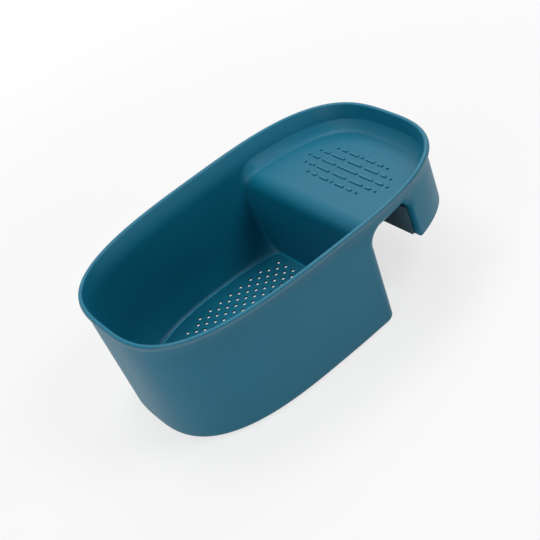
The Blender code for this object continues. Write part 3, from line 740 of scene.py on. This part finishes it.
def bars(skin, places, levels, lengthwise=False):
    """Round-ended bars, each a stack of outlines. places has rows of x, y, length and width.

    An outline is a circle of the bar's width whose two halves are pulled apart along the bar. levels has rows
    of how far in from the bar's side, and height.
    """
    turn = np.linspace(0, 2 * math.pi, BAR_POINTS + 1)[:-1] + math.pi / BAR_POINTS
    x, y, long, wide = np.array(places).T[:, :, None, None]
    inwards, height = np.array(levels).T[:, None, :, None]
    reach = wide / 2 - inwards
    across = reach * np.cos(turn)
    lengthways = reach * np.sin(turn) + np.sign(np.sin(turn)) * np.maximum(long - wide, 0) / 2
    if lengthwise:
        across, lengthways = lengthways, across
    points = np.stack(np.broadcast_arrays(x + across, y + lengthways, height), -1)
    for stack in points:
        skin.add_solid(list(stack))


def dash_places(shape, sizes):
    """Where the raised dashes lie. Rows and dashes are the same on both sides of the middle."""
    places = []
    middle = len(DASH_ROWS) - 1
    for row in range(2 * middle + 1):
        x = shape.hook_x + DASH_FROM_HOOK_FACE + (row - middle) * sizes.dash_pitch
        for place, long in DASH_ROWS[min(row, 2 * middle - row)]:
            places += [(x, y * MM, long * MM, sizes.dash_wide) for y in sorted({-place, place})]
    return places


def foot_places(shape):
    """Where the four low feet stand."""
    half = inset(shape.skin(FOOT_HEIGHT), FOOT_PLACES[2])
    places = []
    for x in (shape.end_x + FOOT_PLACES[0], shape.divider_foot_x - FOOT_PLACES[1]):
        reach = float(along(half, place_of(half, [x]))[0, 1])
        places += [(x, y, *FOOT_SIZE) for y in (-reach, reach)]
    return places


def hole_places(shape, sizes):
    """Centres of the drain holes: a staggered grid, kept to a margin inside the floor's outline."""
    inner = inset(shape.floor(), sizes.margin)
    last_x = shape.centre_x(shape.plate_z) - shape.step_round - sizes.divider_margin - sizes.hole / 2
    rows = np.arange(-HOLE_ROWS, HOLE_ROWS + 1)[:, None]
    columns = np.arange(0, HOLE_COLUMNS)[None, :]
    x = last_x - (columns + (rows + 1) % 2 / 2) * sizes.pitch_x
    y = rows * sizes.pitch_y / 2 + 0 * x
    reach = np.interp(-x, -inner[:, 0], inner[:, 1], left=0, right=0)
    return np.column_stack([x[np.abs(y) < reach], y[np.abs(y) < reach]])


def plate_blank(shape):
    """The plate without its holes: rounded edges, and a low bead along its outline on top."""
    skin = Skin()
    rings = []
    for margin, rise in PLATE_PROFILE:
        margin = RECESS_INSET + PLATE_CLEARANCE + margin * MM
        half = shape.basin_half(shape.floor(), shape.plate_z, False, margin)
        rings.append(ring(half, plate_high.z + rise * MM))
    skin.add_solid(rings)
    return skin.make("strainer_disc")


def hole_cutters(shape, sizes):
    """One prism for each hole. It narrows downwards, and flares at both ends so that the edges are eased."""
    skin = Skin()
    turn = np.linspace(0, 2 * math.pi, sizes.sides + 1)[:-1]
    levels = [(flare, plate_low.z + rise) for flare, rise in HOLE_LOW]
    levels += [(flare, plate_high.z + rise) for flare, rise in HOLE_HIGH]
    for place in hole_places(shape, sizes):
        rings = []
        for flare, z in levels:
            reach = sizes.hole / 2 + flare
            rings.append(np.column_stack([place[0] + reach * np.cos(turn), place[1] + reach * np.sin(turn),
                                          np.full(len(turn), z)]))
        skin.add_strip(rings)
        skin.faces.append((np.arange(len(turn)) + skin.count - len(turn)).tolist())
        skin.faces.append((np.arange(len(turn)) + skin.count - len(rings) * len(turn)).tolist())
    return skin.make("hole_cutters", weld=FINE_WELD)


def cut(target, cutter, angle):
    """Cut one object with another for good, and shade the result smooth up to an angle."""
    modifier = target.modifiers.new("cut", "BOOLEAN")
    modifier.operation = "DIFFERENCE"
    modifier.solver = "EXACT"
    modifier.object = cutter
    graph = bpy.context.evaluated_depsgraph_get()
    mesh = bpy.data.meshes.new_from_object(target.evaluated_get(graph))
    target.modifiers.clear()
    target.data = mesh
    mesh.set_sharp_from_angle(angle=angle)
    bpy.data.objects.remove(cutter, do_unlink=True)


def pad_skin():
    """The anti-slip sheet: a rounded oblong with eased edges, between the CAD sheet's corners."""
    skin = Skin()
    turn = np.linspace(0, 2 * math.pi, PAD_POINTS + 1)[:-1] + math.pi / PAD_POINTS
    middle_z = (pad_low.z + pad_high.z) / 2
    half_y, half_z = pad_high.y - PAD_CORNER, (pad_high.z - pad_low.z) / 2 - PAD_CORNER
    rings = []
    for inwards, depth in PAD_PROFILE:
        reach = PAD_CORNER - inwards * MM
        y = np.sign(np.cos(turn)) * half_y + reach * np.cos(turn)
        z = middle_z + np.sign(np.sin(turn)) * half_z + reach * np.sin(turn)
        rings.append(np.column_stack([np.full(len(turn), pad_low.x + depth * MM), y, z]))
    skin.add_solid(rings)
    return skin.make("hook_sheet")


class Wire:
    """One value in a material. Sums, differences, products and quotients of it add Math nodes."""

    def __init__(self, recipe, socket):
        self.recipe, self.socket = recipe, socket

    def __add__(self, other):
        return self.recipe.maths("ADD", self, other)

    def __radd__(self, other):
        return self.recipe.maths("ADD", other, self)

    def __sub__(self, other):
        return self.recipe.maths("SUBTRACT", self, other)

    def __rsub__(self, other):
        return self.recipe.maths("SUBTRACT", other, self)

    def __mul__(self, other):
        return self.recipe.maths("MULTIPLY", self, other)

    def __rmul__(self, other):
        return self.recipe.maths("MULTIPLY", other, self)

    def __truediv__(self, other):
        return self.recipe.maths("DIVIDE", self, other)

    def __rtruediv__(self, other):
        return self.recipe.maths("DIVIDE", other, self)


class Recipe:
    """The nodes of one material or world, added one after another."""

    def __init__(self, block):
        block.use_nodes = True
        self.tree = block.node_tree
        self.tree.nodes.clear()

    def node(self, kind, settings, values, output=0):
        """Add a node from its settings and the values or wires of its sockets. Returns one of its outputs."""
        made = self.tree.nodes.new(kind)
        for name, value in settings.items():
            setattr(made, name, value)
        for name, value in values.items():
            if isinstance(value, Wire):
                self.tree.links.new(value.socket, made.inputs[name])
            else:
                made.inputs[name].default_value = value
        return Wire(self, made.outputs[output]) if made.outputs else None

    def beside(self, wire, output):
        """Another output of the node that a wire comes from."""
        return Wire(self, wire.socket.node.outputs[output])

    def maths(self, operation, first, second):
        """The result of one operation on two values or wires."""
        return self.node("ShaderNodeMath", {"operation": operation}, {0: first, 1: second})

    def between(self, value, low, high, at_low, at_high):
        """A smooth change from at_low to at_high while a value runs from low to high."""
        return self.node("ShaderNodeMapRange", {"interpolation_type": "SMOOTHSTEP"},
                         {"Value": value, "From Min": low, "From Max": high,
                          "To Min": at_low, "To Max": at_high})

    def stretched(self, place, factors):
        """A place with each of its directions multiplied. A factor below 1 draws a pattern out along it."""
        return self.node("ShaderNodeVectorMath", {"operation": "MULTIPLY"}, {0: place, 1: factors})

    def scaled(self, colour, factor):
        """A colour made lighter or darker by a factor."""
        return self.node("ShaderNodeVectorMath", {"operation": "SCALE"}, {0: colour, "Scale": factor})

    def noise(self, place, scale, detail, roughness=0.55):
        """A cloudy pattern around 0.5."""
        return self.node("ShaderNodeTexNoise", {},
                         {"Vector": place, "Scale": scale, "Detail": detail, "Roughness": roughness})

    def seen(self):
        """1 for rays from the camera, reflections and glass, and 0 for the rest."""
        camera = self.node("ShaderNodeLightPath", {}, {}, "Is Camera Ray")
        both = camera + self.beside(camera, "Is Glossy Ray")
        return self.maths("MINIMUM", both + self.beside(camera, "Is Transmission Ray"), 1)

    def finish(self, colour, roughness, gloss, height, distance):
        """The Principled surface with its bumps, and the output."""
        normal = self.node("ShaderNodeBump", {}, {"Strength": 1, "Distance": distance, "Height": height},
                           "Normal")
        surface = self.node("ShaderNodeBsdfPrincipled", {},
                            {"Base Color": colour, "Roughness": roughness, "Specular IOR Level": gloss,
                             "Normal": normal})
        self.node("ShaderNodeOutputMaterial", {}, {"Surface": surface})


def moulded_plastic(name, colour, colours, edge_z, edge_high, highlight_tone, wall_shade_tone):
    """Satin moulded plastic.

    It has a cloudy tone, faint flow lines up the walls, pigment specks, orange peel, fine grain, and light
    scuffs where things are put down. Above edge_z it is polished by hands over a height of edge_high, which
    makes it smoother, and its tone is raised there as a painted highlight. The two tones after edge_high are
    that painted highlight's tone and the tone of painted shade on upright faces. Where a face looks outward,
    a dark line of painted shade lies along the parting line below the edge, in a band of painted sheen mixed
    towards pale grey; outward upright walls all take a fainter painted sheen.
    """
    material = bpy.data.materials.new(name)
    recipe = Recipe(material)
    place = recipe.node("ShaderNodeTexCoord", {}, {}, "Object")
    x = recipe.node("ShaderNodeSeparateXYZ", {}, {0: place}, "X")
    y, z = recipe.beside(x, "Y"), recipe.beside(x, "Z")
    across = recipe.node("ShaderNodeSeparateXYZ", {}, {0: recipe.beside(place, "Normal")}, "X")
    facing = recipe.beside(across, "Z")
    outward = recipe.between(across * x + recipe.beside(across, "Y") * y, *OUTWARD, 0, 1)
    cloud = recipe.noise(place, *CLOUD)
    flow = recipe.noise(recipe.stretched(place, FLOW_STRETCH), *FLOW)
    speck = recipe.noise(place, *SPECK)
    scratch = recipe.noise(recipe.stretched(place, SCRATCH_STRETCH), *SCRATCH)
    scuff = recipe.between(scratch, *SCUFFED, 0, 1) * recipe.between(facing, *LEVEL, 0, 1)
    # Smoother above edge_z as real polish, and lighter there as a painted highlight.
    polish_and_highlight = recipe.between(z, edge_z, edge_z + edge_high, 0, 1)
    upright = recipe.between(facing * facing, *UPRIGHT, 1, 0)
    mottle = colours.mottle
    tone = (cloud - 0.5) * mottle + (flow - 0.5) * (mottle / 2) + (speck - 0.5) * (mottle / 2)
    # Painted highlight on the polished edge, and painted shade on upright faces.
    tone = tone + scuff * SCUFF_TONE + polish_and_highlight * (highlight_tone - 1) + upright * (wall_shade_tone - 1) + 1
    # Painted shade: a dark line along the parting line below the edge, on outward faces.
    parting_shade = recipe.between(z, edge_z - PARTING_SHADE_SPAN[0], edge_z - PARTING_SHADE_SPAN[1], 0, 1) * (1 - polish_and_highlight) * outward
    # Painted sheen: a pale band below the edge on outward faces.
    band = recipe.between(z, edge_z - BAND[0], edge_z - BAND[1], 0, 1)
    band = band * (1 - parting_shade) * (1 - polish_and_highlight) * outward
    tone = tone - parting_shade * PARTING_SHADE
    # Painted sheen mixed towards pale grey, in the band and over all outward upright walls.
    paleness = (band * colours.painted_sheen + outward * colours.wall_sheen) * upright
    painted_sheen = recipe.node("ShaderNodeMix", {"data_type": "RGBA"}, {0: paleness, 6: (*colour, 1), 7: PALE}, 2)
    roughness = (cloud - 0.5) * CLOUD_ROUGH + (flow - 0.5) * FLOW_ROUGH + colours.roughness
    roughness = roughness + scuff * SCUFF_ROUGH - polish_and_highlight * POLISH_SMOOTH
    bumps = recipe.noise(place, *PEEL) + recipe.noise(place, *GRAIN) * GRAIN_SHARE
    recipe.finish(recipe.scaled(painted_sheen, tone), roughness, colours.gloss, bumps, colours.grain)
    return material


def sheet_rubber(name, colour, colours):
    """Matt rubber sheet: fine pebbled face, dusty specks and slow changes of tone."""
    material = bpy.data.materials.new(name)
    recipe = Recipe(material)
    place = recipe.node("ShaderNodeTexCoord", {}, {}, "Object")
    cloud = recipe.noise(place, *RUBBER_CLOUD)
    speck = recipe.noise(place, *RUBBER_SPECK)
    pebble = recipe.node("ShaderNodeTexVoronoi", {"feature": "SMOOTH_F1"},
                         {"Vector": place, "Scale": PEBBLE_SCALE}, "Distance")
    # The hollows between the pebbles are darkened: painted shade.
    tone = ((cloud - 0.5) * RUBBER_TONE[0] + (speck - 0.5) * RUBBER_TONE[1] - pebble * RUBBER_TONE[2]
            + RUBBER_TONE[3])
    roughness = (cloud - 0.5) * RUBBER_ROUGH[0] + (speck - 0.5) * RUBBER_ROUGH[1] + RUBBER_ROUGH[2]
    bumps = (1 - pebble) + cloud
    recipe.finish(recipe.scaled(colour, tone), roughness, colours.gloss, bumps, colours.grain * 2)
    return material


def whole(piece):
    """Hand a piece on, or stop when it came out empty or with an open edge."""
    edit = bmesh.new()
    edit.from_mesh(piece.data)
    faces, loose = len(edit.faces), sum(not edge.is_manifold for edge in edit.edges)
    edit.free()
    if faces == 0 or loose > 0:
        raise RuntimeError(f"{piece.name}: {faces} faces, {loose} open edges")
    return piece


class BuildBody(bpy.types.Operator):
    """Make the colander's body"""

    bl_idname = "colander.body"
    bl_label = "Body"

    def execute(self, context):
        shape = Shape(context.scene.colander_sizes)
        body = whole(body_skin(shape))
        colours = context.scene.colander_colours
        edge_z = shape.height - BODY_EDGE_DOWN
        body.data.materials.append(moulded_plastic("teal_plastic", colours.body, colours, edge_z, *BODY_EDGE))
        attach(body, "basket")
        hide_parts("basket_body")
        return {"FINISHED"}


class BuildDetails(bpy.types.Operator):
    """Make the raised dashes and the low feet"""

    bl_idname = "colander.details"
    bl_label = "Dashes and feet"

    def execute(self, context):
        shape = Shape(context.scene.colander_sizes)
        sizes = context.scene.strainer_sizes
        skin = Skin()
        levels = [(0.0, shape.tray_z - DASH_SUNK)]
        levels += [(inwards, shape.tray_z + share * sizes.dash_high) for inwards, share in DASH_PROFILE]
        bars(skin, dash_places(shape, sizes), levels)
        dashes = skin.make("tray_dashes", weld=FINE_WELD)
        skin = Skin()
        bars(skin, foot_places(shape), FOOT_LEVELS, lengthwise=True)
        feet = skin.make("moulded_feet", weld=FINE_WELD)
        colours = context.scene.colander_colours
        edge_z = shape.tray_z + sizes.dash_high * DASH_EDGE_SHARE
        plastic = moulded_plastic("teal_details", colours.body, colours, edge_z, *DETAIL_EDGE)
        for piece in (dashes, feet):
            whole(piece).data.materials.append(plastic)
            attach(piece, "basket")
            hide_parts("basket_body")
        return {"FINISHED"}


class BuildPlate(bpy.types.Operator):
    """Make the perforated strainer plate"""

    bl_idname = "colander.plate"
    bl_label = "Strainer plate"

    def execute(self, context):
        shape = Shape(context.scene.colander_sizes)
        plate = plate_blank(shape)
        cut(plate, hole_cutters(shape, context.scene.strainer_sizes), SHARP_ANGLE)
        colours = context.scene.colander_colours
        edge_z = plate_high.z + PLATE_EDGE_UP
        plastic = moulded_plastic("strainer_plastic", colours.plate, colours, edge_z, *PLATE_EDGE)
        whole(plate).data.materials.append(plastic)
        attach(plate, "strainer")
        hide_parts("strainer_plate")
        return {"FINISHED"}


class BuildPad(bpy.types.Operator):
    """Make the hook's anti-slip sheet"""

    bl_idname = "colander.pad"
    bl_label = "Hook pad"

    def execute(self, context):
        pad = whole(pad_skin())
        colours = context.scene.colander_colours
        pad.data.materials.append(sheet_rubber("grey_rubber", colours.pad, colours))
        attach(pad, "basket")
        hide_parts("hook_pad")
        return {"FINISHED"}


def studio_light(name, turn, rise, share, settings):
    """One round soft light that looks at the object from a direction given in degrees."""
    light = bpy.data.lights.new(name, "AREA")
    light.shape = "DISK"
    light.size = settings.size
    light.energy = settings.power * share
    turn, rise = math.radians(turn), math.radians(rise)
    lamp = bpy.data.objects.new(name, light)
    away = Vector((math.cos(turn) * math.cos(rise), math.sin(turn) * math.cos(rise), math.sin(rise)))
    lamp.location = away * settings.distance + Vector((0, 0, cad_high.z / 2))
    lamp.rotation_euler = away.to_track_quat("Z", "Y").to_euler()
    bpy.context.scene.collection.objects.link(lamp)


def studio_floor(settings):
    """A wide pale floor. It shows the object's shadow and turns into the plain backdrop further out."""
    mesh = bpy.data.meshes.new("studio_floor")
    corners = [(x * FLOOR_REACH, y * FLOOR_REACH, FLOOR_Z) for x, y in ((-1, -1), (1, -1), (1, 1), (-1, 1))]
    mesh.from_pydata(corners, [], [(0, 1, 2, 3)])
    floor = bpy.data.objects.new("studio_floor", mesh)
    bpy.context.scene.collection.objects.link(floor)
    material = bpy.data.materials.new("studio_floor")
    recipe = Recipe(material)
    place = recipe.node("ShaderNodeTexCoord", {}, {}, "Object")
    away = recipe.node("ShaderNodeVectorMath", {"operation": "LENGTH"}, {0: place}, "Value")
    plain = recipe.between(away, *GLOW_EDGE, settings.glow, 1)
    cloud = recipe.noise(place, *FLOOR_CLOUD)
    tone = (cloud - 0.5) * FLOOR_CLOUDING + settings.floor
    matt = recipe.node("ShaderNodeBsdfDiffuse", {}, {"Color": recipe.scaled(WHITE[:3], tone)})
    white = recipe.node("ShaderNodeEmission", {}, {"Color": WHITE, "Strength": 1})
    mixed = recipe.node("ShaderNodeMixShader", {}, {0: plain * recipe.seen(), 1: matt, 2: white})
    recipe.node("ShaderNodeOutputMaterial", {}, {"Surface": mixed})
    mesh.materials.append(material)
    return floor


def studio_world(settings):
    """White where it is seen directly or in a reflection, and a faint fill for matt surfaces."""
    world = bpy.data.worlds.new("studio_world")
    recipe = Recipe(world)
    strength = recipe.seen() * (1 - settings.fill) + settings.fill
    sky = recipe.node("ShaderNodeBackground", {}, {"Color": WHITE, "Strength": strength})
    recipe.node("ShaderNodeOutputWorld", {}, {"Surface": sky})
    return world


class BuildStage(bpy.types.Operator):
    """Make the floor, the lights and the camera"""

    bl_idname = "colander.stage"
    bl_label = "Studio"

    def execute(self, context):
        scene = context.scene
        settings = scene.studio_settings
        studio_floor(settings)
        scene.world = studio_world(settings)
        for light in STUDIO_LIGHTS:
            studio_light(*light, settings)
        camera = bpy.data.objects.new("photo_camera", bpy.data.cameras.new("photo_camera"))
        camera.data.sensor_width = CAMERA_SENSOR
        camera.data.lens = CAMERA_LENS
        camera.location = CAMERA_PLACE
        camera.rotation_euler = [math.radians(turn) for turn in CAMERA_TURN]
        scene.collection.objects.link(camera)
        scene.camera = camera
        scene.view_settings.view_transform = "Standard"
        return {"FINISHED"}


class ColanderPanel(bpy.types.Panel):
    """Settings and buttons of the colander in the 3D view's sidebar"""

    bl_idname = "VIEW3D_PT_colander"
    bl_label = "Colander"
    bl_space_type = "VIEW_3D"
    bl_region_type = "UI"
    bl_category = "Colander"

    def draw(self, context):
        for name, kind in GROUPS.items():
            box = self.layout.box()
            for setting in kind.__annotations__:
                box.prop(getattr(context.scene, name), setting)
        for operator in OPERATORS:
            self.layout.operator(operator.bl_idname)


GROUPS = {"colander_sizes": ColanderSizes, "strainer_sizes": StrainerSizes,
          "colander_colours": ColanderColours, "studio_settings": StudioSettings}
OPERATORS = (BuildBody, BuildDetails, BuildPlate, BuildPad, BuildStage)
CLASSES = (*GROUPS.values(), *OPERATORS, ColanderPanel)


def register():
    """Register the classes and their settings on the scene."""
    for kind in CLASSES:
        bpy.utils.register_class(kind)
    for name, kind in GROUPS.items():
        setattr(bpy.types.Scene, name, PointerProperty(type=kind))


def unregister():
    """Remove the settings and the classes."""
    for name in GROUPS:
        delattr(bpy.types.Scene, name)
    for kind in reversed(CLASSES):
        bpy.utils.unregister_class(kind)


def main():
    """Build everything in order."""
    register()
    bpy.ops.colander.body()
    bpy.ops.colander.details()
    bpy.ops.colander.plate()
    bpy.ops.colander.pad()
    bpy.ops.colander.stage()


if __name__ == "__main__":
    main()
